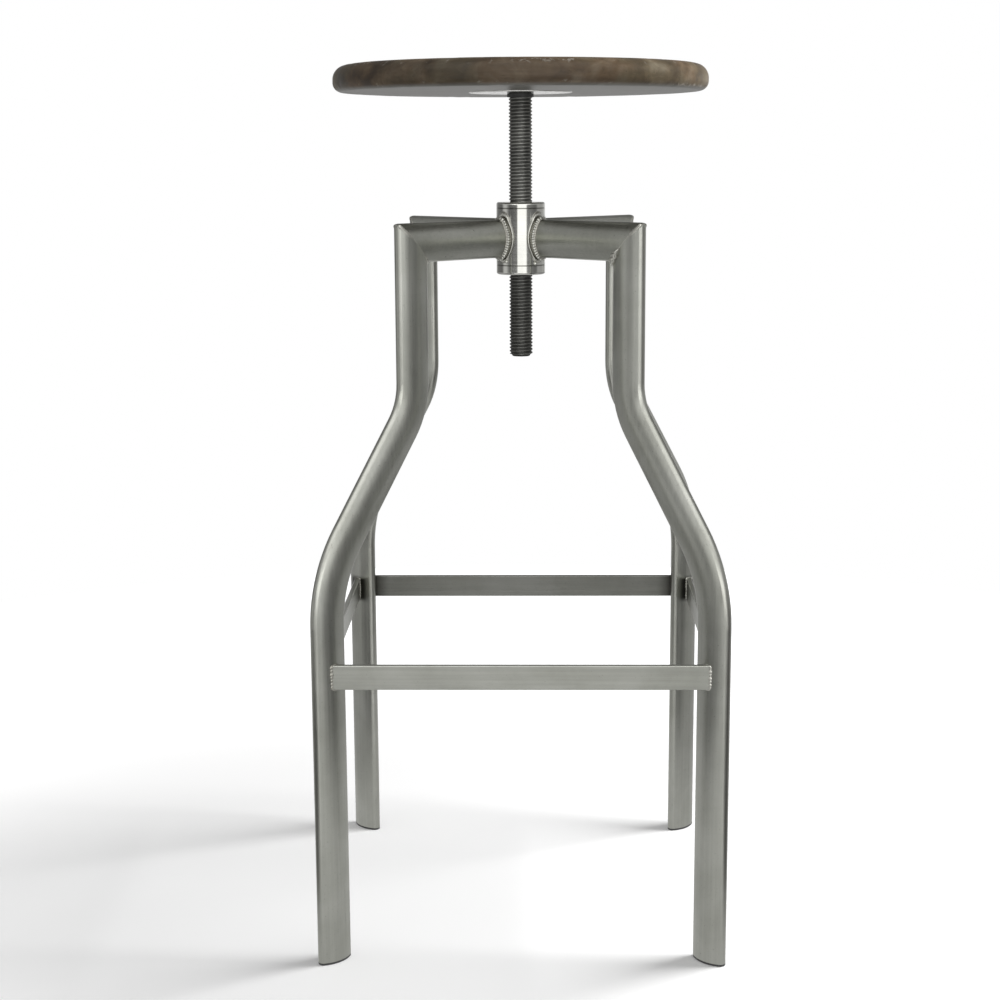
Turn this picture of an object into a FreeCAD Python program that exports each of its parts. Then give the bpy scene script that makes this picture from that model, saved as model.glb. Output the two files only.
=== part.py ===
import FreeCAD, Part
import math
import os

# Adjustable bar stool. A round wooden seat is screwed to a flange on a threaded post,
# and the post winds up and down in a hub that four bent oval-tube legs carry.
# Flat foot rails tie the legs together. Millimetres, +Z up, front towards -Y,
# origin on the floor under the middle of the seat.

# Frame tube: an oval with its long way in the plane of each leg
tube_depth = 33.4
tube_width = 16.5
tube_nose_radius = 5.0
tube_wall = 1.5

# Legs: plumb at the top, sloping out at the knee, plumb again below the ankle
arm_height = 614.1
leg_top_radius = 130.7
leg_foot_radius = 229.7
knee_height = 474.5
ankle_height = 338.8
knee_bend_radius = 64.0
ankle_bend_radius = 122.0

# Hub: a sleeve, its middle a little above the arms, with a flanged, threaded bush in each end
hub_diameter = 43.4
sleeve_length = 50.2
sleeve_rise = 1.3
sleeve_bore = 32.0
upper_bush_flange = 5.2
lower_bush_flange = 8.3
bush_spigot_length = 17.0
bush_edge_round = 2.0
hub_seam_chamfer = 0.4

# Threaded post
thread_diameter = 20.6
thread_pitch = 3.0
thread_depth = 1.0
thread_flank_angle = 30.0
post_tail = 73.5
post_tip_length = 2.0
post_tip_step = 0.4
post_tip_taper = 1.2
post_spigot_diameter = 14.0

# Seat and the flange that is let into its underside
seat_lift = 94.7
seat_diameter = 330.0
seat_thickness = 22.8
seat_top_round = 12.0
seat_bottom_round = 8.0
flange_diameter = 91.0
flange_thickness = 3.0
flange_edge_round = 0.8
flange_recess = 2.2
flange_screw_count = 4
flange_screw_circle = 62.0
wood_screw_diameter = 4.2
wood_screw_grip = 14.0
wood_screw_head_diameter = 8.4
wood_screw_head_height = 2.2
screw_recess_length = 4.6
screw_recess_width = 1.1
screw_recess_depth = 1.4
post_weld_leg = 3.0

# Stop ring under the flange
stop_ring_wall = 1.2
stop_ring_height = 3.4
stop_ring_edge_round = 0.5

# Foot rails
rail_height = 21.1
rail_thickness = 5.0
rail_top_height = 266.3
rail_setout = 7.6
rail_edge_round = 0.8

# Foot plugs
plug_base = 2.0
plug_edge_round = 0.8
plug_depth = 18.0
plug_wall = 2.0

# Weld beads
arm_bead = 4.5
corner_bead_radius = 3.0
rail_bead_radius = 2.2

# Outer tips of the mitres, ground round
corner_round = 4.0

# Clearances
weld_gap = 0.1
press_clearance = 0.05
plug_clearance = 0.2
thread_clearance = 0.25
ring_clearance = 0.3
recess_clearance = 0.5
screw_hole_clearance = 0.15
weld_pocket_clearance = 1.0

# How close an edge must lie to a named height or radius to be taken as that edge
edge_match = 1e-6

# The four corners and the four sides of the frame, each list going round +Z from +X
corners = ["back_right", "back_left", "front_left", "front_right"]
sides = ["right", "back", "left", "front"]

Y_AXIS = FreeCAD.Vector(0, 1, 0)
Z_AXIS = FreeCAD.Vector(0, 0, 1)
ORIGIN = FreeCAD.Vector(0, 0, 0)

# Heights that follow from the sizes above
half_depth = tube_depth / 2
half_width = tube_width / 2
hub_radius = hub_diameter / 2
sleeve_bottom = arm_height + sleeve_rise - sleeve_length / 2
sleeve_top = sleeve_bottom + sleeve_length
hub_top = sleeve_top + upper_bush_flange
hub_bottom = sleeve_bottom - lower_bush_flange
flange_bottom = hub_top + seat_lift
flange_top = flange_bottom + flange_thickness
seat_bottom = flange_top - flange_recess
post_bottom = hub_bottom - post_tail
thread_start = post_bottom + post_tip_length
thread_major = thread_diameter / 2
thread_minor = thread_major - thread_depth
rail_bottom_height = rail_top_height - rail_height


def vector(x, y, z):
    return FreeCAD.Vector(x, y, z)


def turned(shape, degrees):
    """A copy of the shape turned about the stool's upright axis"""
    copy = shape.copy()
    copy.rotate(ORIGIN, Z_AXIS, degrees)
    return copy


def cylinder(radius, bottom, top, x=0.0, y=0.0):
    return Part.makeCylinder(radius, top - bottom, vector(x, y, bottom), Z_AXIS)


def ring(outer_radius, inner_radius, bottom, top):
    return cylinder(outer_radius, bottom, top).cut(cylinder(inner_radius, bottom, top))


def rim_edges(shape, height, radius):
    """The round edges of a shape that lie at a height and have a radius"""
    rims = []
    for edge in shape.Edges:
        if isinstance(edge.Curve, Part.Circle):
            height_error = abs(edge.Curve.Center.z - height)
            radius_error = abs(edge.Curve.Radius - radius)
            if max(height_error, radius_error) < edge_match:
                rims.append(edge)
    return rims


def oval_wire(grow=0.0):
    """Four-arc oval in the XY plane, long way along X, grown or shrunk by an even margin"""
    nose_radius = tube_nose_radius + grow
    nose_centre = half_depth - tube_nose_radius
    side_radius = (nose_centre ** 2 + half_width ** 2 - tube_nose_radius ** 2)
    side_radius /= 2 * (half_width - tube_nose_radius)
    side_centre = side_radius - half_width
    join = math.atan2(side_centre, nose_centre)
    jx = nose_centre + nose_radius * math.cos(join)
    jy = nose_radius * math.sin(join)
    tip = half_depth + grow
    crown = half_width + grow
    points = [vector(jx, -jy, 0), vector(tip, 0, 0), vector(jx, jy, 0), vector(0, crown, 0),
              vector(-jx, jy, 0), vector(-tip, 0, 0), vector(-jx, -jy, 0), vector(0, -crown, 0)]
    arcs = []
    for first in range(0, 8, 2):
        arc = Part.Arc(points[first], points[first + 1], points[(first + 2) % 8])
        arcs.append(arc.toShape())
    return Part.Wire(arcs)


def upright_oval(radius, bottom, top, grow=0.0):
    """Solid oval bar standing at a radius along +X"""
    face = Part.Face(oval_wire(grow))
    face.translate(vector(radius, 0, bottom))
    return face.extrude(vector(0, 0, top - bottom))


def level_oval(start, end, grow=0.0):
    """Solid oval bar lying along +X at arm height, long way upright"""
    face = Part.Face(oval_wire(grow))
    face.rotate(ORIGIN, Y_AXIS, 90)
    face.translate(vector(start, 0, arm_height))
    return face.extrude(vector(end - start, 0, 0))


def mitre_wedge(above):
    """Wedge on one side of the corner's mitre plane, the upper or the lower one"""
    reach = 2 * tube_depth
    low = vector(leg_top_radius - reach, -reach, arm_height - reach)
    high = vector(leg_top_radius + reach, -reach, arm_height + reach)
    side = vector(low.x, -reach, high.z) if above else vector(high.x, -reach, low.z)
    face = Part.Face(Part.makePolygon([low, high, side, low]))
    return face.extrude(vector(0, 2 * reach, 0))


def ground_tip():
    """Space outside the round that is ground across the outer tip of a mitre"""
    reach = tube_depth
    tip_x = leg_top_radius + half_depth
    tip_z = arm_height + half_depth
    middle_share = 1 - math.sqrt(0.5)
    top_end = vector(tip_x - corner_round, -reach, tip_z)
    middle = vector(tip_x - corner_round * middle_share, -reach, tip_z - corner_round * middle_share)
    side_end = vector(tip_x, -reach, tip_z - corner_round)
    outside = [side_end, vector(tip_x + reach, -reach, side_end.z),
               vector(tip_x + reach, -reach, tip_z + reach),
               vector(top_end.x, -reach, tip_z + reach), top_end]
    edges = [Part.Arc(top_end, middle, side_end).toShape()]
    edges += Part.makePolygon(outside).Edges
    return Part.Face(Part.Wire(edges)).extrude(vector(0, 2 * reach, 0))


def bend_points(before, corner, after, radius):
    """Start, middle and end of the arc that rounds a corner of the leg's centre line"""
    towards_start = (before - corner).normalize()
    towards_end = (after - corner).normalize()
    half_angle = towards_start.getAngle(towards_end) / 2
    tangent = radius / math.tan(half_angle)
    bisector = (towards_start + towards_end).normalize()
    middle = corner + bisector * (radius / math.sin(half_angle) - radius)
    return corner + towards_start * tangent, middle, corner + towards_end * tangent


def leg_path():
    """Centre line of a leg from above its mitre down to its foot plug"""
    head = vector(leg_top_radius, 0, arm_height + tube_depth)
    knee = vector(leg_top_radius, 0, knee_height)
    ankle = vector(leg_foot_radius, 0, ankle_height)
    foot = vector(leg_foot_radius, 0, plug_base)
    knee_start, knee_middle, knee_end = bend_points(head, knee, ankle, knee_bend_radius)
    ankle_start, ankle_middle, ankle_end = bend_points(knee, ankle, foot, ankle_bend_radius)
    runs = [Part.LineSegment(head, knee_start), Part.Arc(knee_start, knee_middle, knee_end),
            Part.LineSegment(knee_end, ankle_start), Part.Arc(ankle_start, ankle_middle, ankle_end),
            Part.LineSegment(ankle_end, foot)]
    return Part.Wire([run.toShape() for run in runs])


def leg_bar(grow=0.0):
    """Solid bar of the tube's outline along the whole leg"""
    outline = oval_wire(grow)
    outline.translate(vector(leg_top_radius, 0, arm_height + tube_depth))
    return leg_path().makePipeShell([outline], True, False)


def leg():
    tube = leg_bar().cut(leg_bar(-tube_wall))
    return tube.cut(mitre_wedge(above=True)).cut(ground_tip())


def arm():
    """Tube from the hub to the mitre, coped to the sleeve"""
    reach = leg_top_radius + tube_depth
    tube = level_oval(0, reach).cut(level_oval(0, reach, -tube_wall))
    sleeve_space = cylinder(hub_radius + weld_gap, hub_bottom, hub_top)
    return tube.cut(sleeve_space).cut(mitre_wedge(above=False)).cut(ground_tip())


def arm_weld():
    """Saddle bead round an arm where it meets the sleeve"""
    reach = hub_radius + arm_bead
    bead = level_oval(0, reach + arm_bead, arm_bead).cut(level_oval(0, reach + arm_bead, weld_gap))
    sleeve_space = cylinder(hub_radius + weld_gap, hub_bottom - arm_bead, hub_top + arm_bead)
    round_limit = cylinder(reach, hub_bottom, hub_top)
    saddle = bead.cut(sleeve_space).common(round_limit)
    return max(saddle.Solids, key=lambda piece: piece.CenterOfMass.x)


def corner_weld():
    """Bead across the inside of the mitre between an arm and its leg"""
    inside = vector(leg_top_radius - half_depth, -half_width / 2, arm_height - half_depth)
    bead = Part.makeCylinder(corner_bead_radius, half_width, inside, Y_AXIS)
    arm_space = level_oval(hub_radius, leg_top_radius, weld_gap)
    leg_space = upright_oval(leg_top_radius, knee_height, arm_height, weld_gap)
    return bead.cut(arm_space).cut(leg_space)


def foot_plug():
    """Plastic glide with a hollow insert that is pushed up into the tube"""
    insert_margin = -tube_wall - plug_clearance
    base = upright_oval(leg_foot_radius, 0, plug_base)
    base = base.makeFillet(plug_edge_round, [edge for edge in base.Edges if edge.BoundBox.ZMax < edge_match])
    insert = upright_oval(leg_foot_radius, plug_base, plug_base + plug_depth, insert_margin)
    hollow = upright_oval(leg_foot_radius, plug_base, plug_base + plug_depth, insert_margin - plug_wall)
    return base.fuse(insert.cut(hollow)).removeSplitter()


def rail_bar():
    """Flat bar for the rail that faces +X, longer than the gap that it fills"""
    outer_face = leg_foot_radius * math.sqrt(0.5) + rail_setout
    bar = Part.makeBox(rail_thickness, 2 * leg_foot_radius, rail_height,
                       vector(outer_face - rail_thickness, -leg_foot_radius, rail_bottom_height))
    long_edges = [edge for edge in bar.Edges if edge.BoundBox.YLength > leg_foot_radius]
    return bar.makeFillet(rail_edge_round, long_edges)


def leg_feet(grow):
    """The plumb lower ends of the two legs beside the rail that faces +X"""
    post = upright_oval(leg_foot_radius, rail_bottom_height - rail_height,
                        rail_top_height + rail_height, grow)
    return [turned(post, -45), turned(post, 45)]


def rail():
    """Rail coped to the flat sides of the two legs that it ties"""
    pieces = rail_bar().cut(leg_feet(weld_gap)).Solids
    return min(pieces, key=lambda piece: abs(piece.CenterOfMass.y))


def rail_welds():
    """Upright beads where the outer and inner faces of the rail that faces +X meet the legs"""
    bar = rail()
    feet = leg_feet(weld_gap)
    face_places = (bar.BoundBox.XMin, bar.BoundBox.XMax)
    beads = []
    for edge in bar.Edges:
        low, high = edge.Vertexes[0].Point, edge.Vertexes[-1].Point
        upright = abs(high.z - low.z) > rail_height / 2
        on_face = min(abs(low.x - place) for place in face_places) < weld_gap
        if upright and on_face:
            bead = cylinder(rail_bead_radius, rail_bottom_height, rail_top_height, low.x, low.y)
            beads.append(bead.cut([bar] + feet).Solids[0])
    return beads


def helix_edge(radius, start):
    """One turn of a right-handed helix from the +X side, rising by one pitch"""
    steps = 12
    angles = [2 * math.pi * step / steps for step in range(steps + 1)]
    rise = thread_pitch / (2 * math.pi)
    points = [vector(radius * math.cos(angle), radius * math.sin(angle), start + rise * angle)
              for angle in angles]
    heading = vector(0, radius, rise)
    curve = Part.BSplineCurve()
    curve.interpolate(Points=points, Parameters=angles, InitialTangent=heading,
                      FinalTangent=heading, Scale=False)
    return curve.toShape()


def thread_end(profile, start):
    """Faces that close a thread: a helicoid from the first helix to the axis, and its step"""
    foot = vector(0, 0, start)
    head = vector(0, 0, start + thread_pitch)
    axis = Part.LineSegment(foot, head).toShape()
    helicoid = Part.makeRuledSurface(axis, helix_edge(profile[0][0], start))
    rim = [vector(radius, 0, start + rise) for radius, rise in profile]
    step = Part.Face(Part.makePolygon([foot] + rim + [head, foot]))
    return [helicoid, step]


def thread_bar(bottom, top, margin=0.0):
    """Right-handed threaded bar; a margin grows it evenly into the form of a nut's thread"""
    slope = math.radians(thread_flank_angle)
    flank = thread_depth * math.tan(slope)
    widen = margin / math.cos(slope) - margin * math.tan(slope)
    crest = thread_pitch / 2 - flank + 2 * widen
    minor = thread_minor + margin
    major = thread_major + margin
    profile = [(minor, -widen), (major, flank - widen), (major, flank + crest - widen),
               (minor, 2 * flank + crest - widen), (minor, thread_pitch - widen)]
    first = thread_start + thread_pitch * (math.floor((bottom - thread_start) / thread_pitch) - 2)
    turns = math.ceil((top - first) / thread_pitch) + 1
    faces = []
    for turn in range(turns):
        start = first + turn * thread_pitch
        helices = [helix_edge(radius, start + rise) for radius, rise in profile]
        for lower, upper in zip(helices, helices[1:]):
            faces.append(Part.makeRuledSurface(lower, upper))
    for start in (first, first + turns * thread_pitch):
        faces += thread_end(profile, start)
    shell = Part.makeShell(faces)
    shell.sewShape()
    bar = Part.makeSolid(Part.makeShell(shell.Faces))
    if bar.Volume < 0:
        bar.reverse()
    return bar.common(cylinder(2 * major, bottom, top))


def lift_screw():
    """Threaded post with a tapered tip and a spigot that stands in the seat flange"""
    thread = thread_bar(thread_start, flange_bottom)
    shoulder_radius = thread_minor - post_tip_step
    tip = Part.makeCone(shoulder_radius - post_tip_taper, shoulder_radius, post_tip_length,
                        vector(0, 0, post_bottom), Z_AXIS)
    spigot = cylinder(post_spigot_diameter / 2, flange_bottom, flange_top)
    return thread.fuse([tip, spigot])


def bush(flange_low, flange_high, spigot_low, spigot_high):
    """Flanged nut: a flange as wide as the hub and a spigot that fits the sleeve's bore"""
    flange = cylinder(hub_radius, flange_low, flange_high)
    upward = flange_high > spigot_high
    end = flange_high if upward else flange_low
    seam = flange_low if upward else flange_high
    flange = flange.makeFillet(bush_edge_round, rim_edges(flange, end, hub_radius))
    flange = flange.makeChamfer(hub_seam_chamfer, rim_edges(flange, seam, hub_radius))
    spigot = cylinder(sleeve_bore / 2 - press_clearance, spigot_low, spigot_high)
    body = flange.fuse(spigot)
    bottom = min(flange_low, spigot_low) - thread_pitch / 2
    top = max(flange_high, spigot_high) + thread_pitch / 2
    return body.cut(thread_bar(bottom, top, thread_clearance))


def upper_bush():
    return bush(sleeve_top, hub_top, sleeve_top - bush_spigot_length, sleeve_top)


def lower_bush():
    return bush(hub_bottom, sleeve_bottom, sleeve_bottom, sleeve_bottom + bush_spigot_length)


def hub_sleeve():
    sleeve = ring(hub_radius, sleeve_bore / 2, sleeve_bottom, sleeve_top)
    rims = rim_edges(sleeve, sleeve_bottom, hub_radius) + rim_edges(sleeve, sleeve_top, hub_radius)
    return sleeve.makeChamfer(hub_seam_chamfer, rims)


def screw_places():
    """Places of the wood screws round the flange"""
    for number in range(flange_screw_count):
        angle = 2 * math.pi * (number + 0.5) / flange_screw_count
        radius = flange_screw_circle / 2
        yield radius * math.cos(angle), radius * math.sin(angle)


def countersunk(x, y, top, margin=0.0):
    """Form of a wood screw with its flat head level with the flange, grown by a margin"""
    shank_radius = wood_screw_diameter / 2 + margin
    head_radius = wood_screw_head_diameter / 2 + margin
    head = Part.makeCone(head_radius, shank_radius, wood_screw_head_height, vector(x, y, flange_bottom))
    return head.fuse(cylinder(shank_radius, flange_bottom, top, x, y))


def seat_flange():
    plate = ring(flange_diameter / 2, post_spigot_diameter / 2 + press_clearance,
                 flange_bottom, flange_top)
    plate = plate.makeFillet(flange_edge_round, rim_edges(plate, flange_bottom, flange_diameter / 2))
    holes = [countersunk(x, y, flange_top, screw_hole_clearance) for x, y in screw_places()]
    return plate.cut(holes)


def cross_recess(x, y, bottom):
    """Two crossed bars that are cut from the underside of a screw head"""
    bars = []
    for length, width in ((screw_recess_length, screw_recess_width),
                          (screw_recess_width, screw_recess_length)):
        corner = vector(x - length / 2, y - width / 2, bottom)
        bars.append(Part.makeBox(length, width, screw_recess_depth, corner))
    return bars


def flange_screws():
    """Flat-headed wood screws up through the flange"""
    screws = []
    for x, y in screw_places():
        screw = countersunk(x, y, flange_top + wood_screw_grip)
        screws.append(screw.cut(cross_recess(x, y, flange_bottom)))
    return Part.makeCompound(screws)


def post_weld():
    """Weld on top of the flange, round the end of the post's spigot"""
    spigot_radius = post_spigot_diameter / 2
    return Part.makeCone(spigot_radius + post_weld_leg, spigot_radius, post_weld_leg / 2,
                         vector(0, 0, flange_top), Z_AXIS)


def seat_board():
    """Turned wooden disc with rounded edges, and below a recess, a weld pocket and pilot holes"""
    radius = seat_diameter / 2
    top = seat_bottom + seat_thickness
    board = cylinder(radius, seat_bottom, top)
    for height, edge_round in ((top, seat_top_round), (seat_bottom, seat_bottom_round)):
        board = board.makeFillet(edge_round, rim_edges(board, height, radius))
    pocket_radius = post_spigot_diameter / 2 + post_weld_leg + weld_pocket_clearance
    pocket = cylinder(pocket_radius, seat_bottom, flange_top + post_weld_leg)
    recess = cylinder(flange_diameter / 2 + recess_clearance, seat_bottom, flange_top)
    hole_radius = wood_screw_diameter / 2 + press_clearance
    hole_top = flange_top + wood_screw_grip + press_clearance
    holes = [cylinder(hole_radius, seat_bottom, hole_top, x, y) for x, y in screw_places()]
    return board.cut([recess, pocket] + holes)


def stop_ring():
    """Rubber ring on the post that cushions the flange when the seat is wound right down"""
    inner_radius = thread_major + ring_clearance
    outer_radius = inner_radius + stop_ring_wall
    top = flange_bottom - ring_clearance
    bottom = top - stop_ring_height
    body = ring(outer_radius, inner_radius, bottom, top)
    rims = rim_edges(body, bottom, outer_radius) + rim_edges(body, top, outer_radius)
    return body.makeFillet(stop_ring_edge_round, rims)


def build():
    parts = {
        "hub_sleeve": hub_sleeve(),
        "upper_bush": upper_bush(),
        "lower_bush": lower_bush(),
        "lift_screw": lift_screw(),
        "seat_flange": seat_flange(),
        "flange_screws": flange_screws(),
        "post_weld": post_weld(),
        "seat_board": seat_board(),
        "stop_ring": stop_ring(),
    }
    quarter = 360 / len(corners)
    side_directions = [quarter * number for number in range(len(sides))]
    corner_directions = [quarter / 2 + direction for direction in side_directions]
    at_corner = {"arm": arm(), "leg": leg(), "foot_plug": foot_plug()}
    for corner, direction in zip(corners, corner_directions):
        for name, shape in at_corner.items():
            parts[name + "_" + corner] = turned(shape, direction)
    for side, direction in zip(sides, side_directions):
        parts["rail_" + side] = turned(rail(), direction)
    for name, bead in (("arm_welds", arm_weld()), ("corner_welds", corner_weld())):
        parts[name] = Part.makeCompound([turned(bead, direction) for direction in corner_directions])
    beads = rail_welds()
    parts["rail_welds"] = Part.makeCompound(
        [turned(bead, direction) for direction in side_directions for bead in beads])
    return parts


os.makedirs("parts", exist_ok=True)
for node, shape in build().items():
    shape.exportStep("parts/" + node + ".step")
    box = shape.BoundBox
    print("%-24s valid %s solids %d volume %.0f z %.2f to %.2f" % (
        node, shape.isValid(), len(shape.Solids), shape.Volume, box.ZMin, box.ZMax))
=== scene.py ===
import math

import bpy
from mathutils import Matrix, Vector, noise


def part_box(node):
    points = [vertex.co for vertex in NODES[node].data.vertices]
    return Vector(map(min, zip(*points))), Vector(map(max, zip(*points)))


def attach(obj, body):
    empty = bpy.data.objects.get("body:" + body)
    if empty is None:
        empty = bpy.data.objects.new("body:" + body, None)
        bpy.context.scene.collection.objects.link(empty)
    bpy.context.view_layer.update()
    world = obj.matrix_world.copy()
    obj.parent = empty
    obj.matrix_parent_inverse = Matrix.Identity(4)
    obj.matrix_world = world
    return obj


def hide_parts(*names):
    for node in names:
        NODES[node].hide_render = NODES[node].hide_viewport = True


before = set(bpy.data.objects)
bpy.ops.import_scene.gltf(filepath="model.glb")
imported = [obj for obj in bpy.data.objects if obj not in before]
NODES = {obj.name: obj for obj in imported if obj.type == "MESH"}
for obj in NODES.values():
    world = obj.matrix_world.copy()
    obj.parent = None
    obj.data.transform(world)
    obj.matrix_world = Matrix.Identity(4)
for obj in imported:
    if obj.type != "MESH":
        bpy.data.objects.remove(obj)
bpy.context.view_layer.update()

# Adjustable bar stool in metres, +Z up, front towards -Y, origin on the floor under the seat.
# Most pieces are the part's own solids with worked surfaces. The weld beads and the wooden
# seat are finer pieces made here in the places of their plain solids.

CORNERS = {"back_right": 45, "back_left": 135, "front_left": 225, "front_right": 315}
SIDES = {"right": 0, "back": 90, "left": 180, "front": 270}

# Frame sizes that the welds and the painted shade near the rails' ends follow
TUBE_HALF_DEPTH = 0.0167
TUBE_HALF_WIDTH = 0.00825
TUBE_NOSE_RADIUS = 0.005
CORNER_ROUND = 0.004
LEG_TOP_RADIUS = 0.1307
LEG_FOOT_RADIUS = 0.2297
SLEEVE_LOW, SLEEVE_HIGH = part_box("hub_sleeve")
HUB_RADIUS = SLEEVE_HIGH.x
ARM_HEIGHT = sum(corner.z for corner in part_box("arm_front_left")) / 2
RAIL_LOW, RAIL_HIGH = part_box("rail_right")
RAIL_MIDDLE = (RAIL_LOW + RAIL_HIGH) / 2
SEAT_LOW, SEAT_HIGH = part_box("seat_board")
SEAT_RADIUS = SEAT_HIGH.x

# Beads round the arms at the hub: reach on both pieces, and the height of each form across the bead
SADDLE_ON_HUB = 0.0034
SADDLE_ON_ARM = 0.0068
SADDLE_LINE = 0.0016
SADDLE_BED = 0.0015
SADDLE_RIPPLES = 0.0013
# How deep a bead's edges lie in the metal, the ripples' pitch, and how far they wander
SADDLE_SINK = 0.0004
SADDLE_PITCH = 0.0021
SADDLE_WANDER = 0.0006
# Shares across the bead, -1 on the hub and 1 on the arm: middle and width of the line and of the ripples
LINE_ACROSS = (-0.44, 0.25)
RIPPLES_ACROSS = (0.63, 0.19)
SADDLE_SHARES = [-1.0, -0.86, -0.7, -0.55, -0.42, -0.3, -0.18, -0.08, 0.0, 0.1, 0.24, 0.36, 0.46,
                 0.55, 0.63, 0.71, 0.8, 0.9, 1.0]

# Drops of weld metal on the hub: radius, distance under the arm, step in height, and degrees from the arm
DROP_SIZE = 0.0016
DROP_UNDER_ARM = 0.0052
DROP_STEP = 0.0008
DROP_ASIDE = 9

# Beads along the mitres: half width and height of the seam all round
MITRE_SEAM = 0.0004
MITRE_SEAM_HEIGHT = 0.00005
# Half width that the ground outside adds, where it starts, and the depths over which both sides grow
MITRE_OUTER = 0.0024
MITRE_OUTER_START = 0.002
MITRE_OUTER_GROWTH = 0.008
MITRE_INNER_GROWTH = 0.006
# How deep the edges lie in the metal, the ripples' pitch, and how far they wander
MITRE_SINK = 0.0002
MITRE_PITCH = 0.0042
MITRE_WANDER = 0.0008
MITRE_SHARES = [-1.0, -0.86, -0.72, -0.6, -0.45, -0.3, -0.18, -0.08, 0.0,
                0.08, 0.18, 0.3, 0.45, 0.6, 0.72, 0.86, 1.0]
# Share of a mitre bead's half width at which its rounded back meets its shoulders
SHOULDER_SHARE = 0.6
# For each mitre: how far out its inside bead comes, the bead's half width, height, and ripple
MITRE_BEADS = {"back_right": (-0.006, 0.0027, 0.0017, 0.4),
               "back_left": (-0.007, 0.0025, 0.0016, 0.4),
               "front_left": (-0.0095, 0.0024, 0.0014, 0.3),
               "front_right": (-0.003, 0.0046, 0.0034, 0.5)}

# Beads round the rails' ends: rounding of the rail's outline, step along it, and the bead's size
RAIL_ROUND = 0.0012
RAIL_STEP = 0.00035
RAIL_BEAD = 0.0009
# How deep the edges lie in the metal, the ripples' pitch, and how far they wander
RAIL_SINK = 0.0003
RAIL_PITCH = 0.0029
RAIL_WANDER = 0.0007
RAIL_SHARES = [-1.0, -0.8, -0.55, -0.3, 0.0, 0.3, 0.55, 0.8, 1.0]

# Seat: rounded edges, depth of its hollows and dents, and steps round it
SEAT_BOTTOM_ROUND = 0.008
SEAT_TOP_ROUND = 0.012
SEAT_HOLLOW = 0.0005
SEAT_DENT = 0.0012
SEAT_STEPS = 360
UNDERSIDE_SHARES = [0, 0.08, 0.16, 0.26, 0.38, 0.5, 0.62, 0.74, 0.84, 0.92, 0.97]
TOP_SHARES = [0.98, 0.95, 0.9, 0.82, 0.72, 0.6, 0.48, 0.36, 0.24, 0.12, 0]

# Painted shade and reflection round the rails' ends on the back legs and the back rail: distances from a
# rail's end on the leg, fade past the rail's edges, distances on the rail
LEG_SHADE_REACH = (0.007, 0.014)
LEG_SHADE_EDGE = (-0.002, 0.004)
RAIL_SHADE_REACH = (0.022, 0.004)
# Dark seams at the hub sleeve's ends: half width with its fade
SEAM_REACH = (0.0010, 0.0003)
# Thread: radii between which black turns to paler grey, how far they wander, and half the fade of the painted
# shade below the hub
CREST_RADII = (0.0094, 0.0103)
CREST_WANDER = 0.0006
SHADE_BELOW_FADE = 0.004
# Rubbed edges of the seat: depths below the top, above the bottom and in from the rim
TOP_EDGE = (0.007, 0.002)
LOW_EDGE = (0.006, 0.002)
RIM_EDGE = (0.010, 0.005)
# Most worn spots along X and their reach, at the top and at the low edge, and where the front starts
TOP_SPOT = (0.014, 0.04)
LOW_SPOT = (0.140, 0.024)
FRONT_START = (-0.03, -0.06)
# Height above the seat's lowest face at which the bare underside starts
UNDER_EDGE = (0.0035, 0.0005)
# Paler middle of the seat along X: its place and its fade
PALER_MIDDLE = 0.01
PALER_REACH = (0.01, 0.07)


def linear(red, green, blue):
    """Linear colour with alpha from 8-bit screen values"""
    def channel(value):
        value /= 255
        return value / 12.92 if value <= 0.04045 else ((value + 0.055) / 1.055) ** 2.4
    return (channel(red), channel(green), channel(blue), 1.0)


def smooth_share(value):
    """Smooth step from 0 to 1"""
    value = min(1, max(0, value))
    return value * value * (3 - 2 * value)


def rim_share(share):
    """0 over the inner four fifths, from there rising to 1 at the edge"""
    return max(0, abs(share) - 0.8) / 0.2


# Meshes

def mesh_piece(name, verts, faces, body, stands_for):
    mesh = bpy.data.meshes.new(name)
    mesh.from_pydata([tuple(vert) for vert in verts], [], faces)
    mesh.validate()
    mesh.shade_smooth()
    piece = bpy.data.objects.new(name, mesh)
    bpy.context.scene.collection.objects.link(piece)
    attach(piece, body)
    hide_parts(stands_for)
    return piece


def grid_faces(rows, columns, closed, first=0):
    """Quads between rows of equal length, the last row joined to the first if closed"""
    faces = []
    for row in range(rows if closed else rows - 1):
        here = first + row * columns
        there = first + (row + 1) % rows * columns
        for column in range(columns - 1):
            faces.append((here + column, here + column + 1, there + column + 1, there + column))
    return faces


def bead(verts, faces, rows, turn):
    """Adds a closed bead from rows of points across it, turned about the axis"""
    first = len(verts)
    for row in rows:
        verts.extend(turn @ point for point in row)
    faces.extend(grid_faces(len(rows), len(rows[0]), True, first))


def turn_about_axis(degrees):
    return Matrix.Rotation(math.radians(degrees), 3, "Z")


def lump(travel, pitch):
    """Height of a row of round weld ripples along a bead, 0 in the valleys and 1 on the tops"""
    return abs(math.cos(math.pi * travel / pitch)) ** 0.6


def hill(share, middle, width):
    """Smooth hill across a bead, 1 at its middle"""
    return math.exp(-((share - middle) / width) ** 2)


def oval_arcs():
    """Radius of the tube's side arcs, their centre's offset, and the normal's angle at the joins"""
    nose_centre = TUBE_HALF_DEPTH - TUBE_NOSE_RADIUS
    side_radius = nose_centre ** 2 + TUBE_HALF_WIDTH ** 2 - TUBE_NOSE_RADIUS ** 2
    side_radius /= 2 * (TUBE_HALF_WIDTH - TUBE_NOSE_RADIUS)
    side_offset = side_radius - TUBE_HALF_WIDTH
    return side_radius, side_offset, math.atan2(side_offset, nose_centre)


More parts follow.
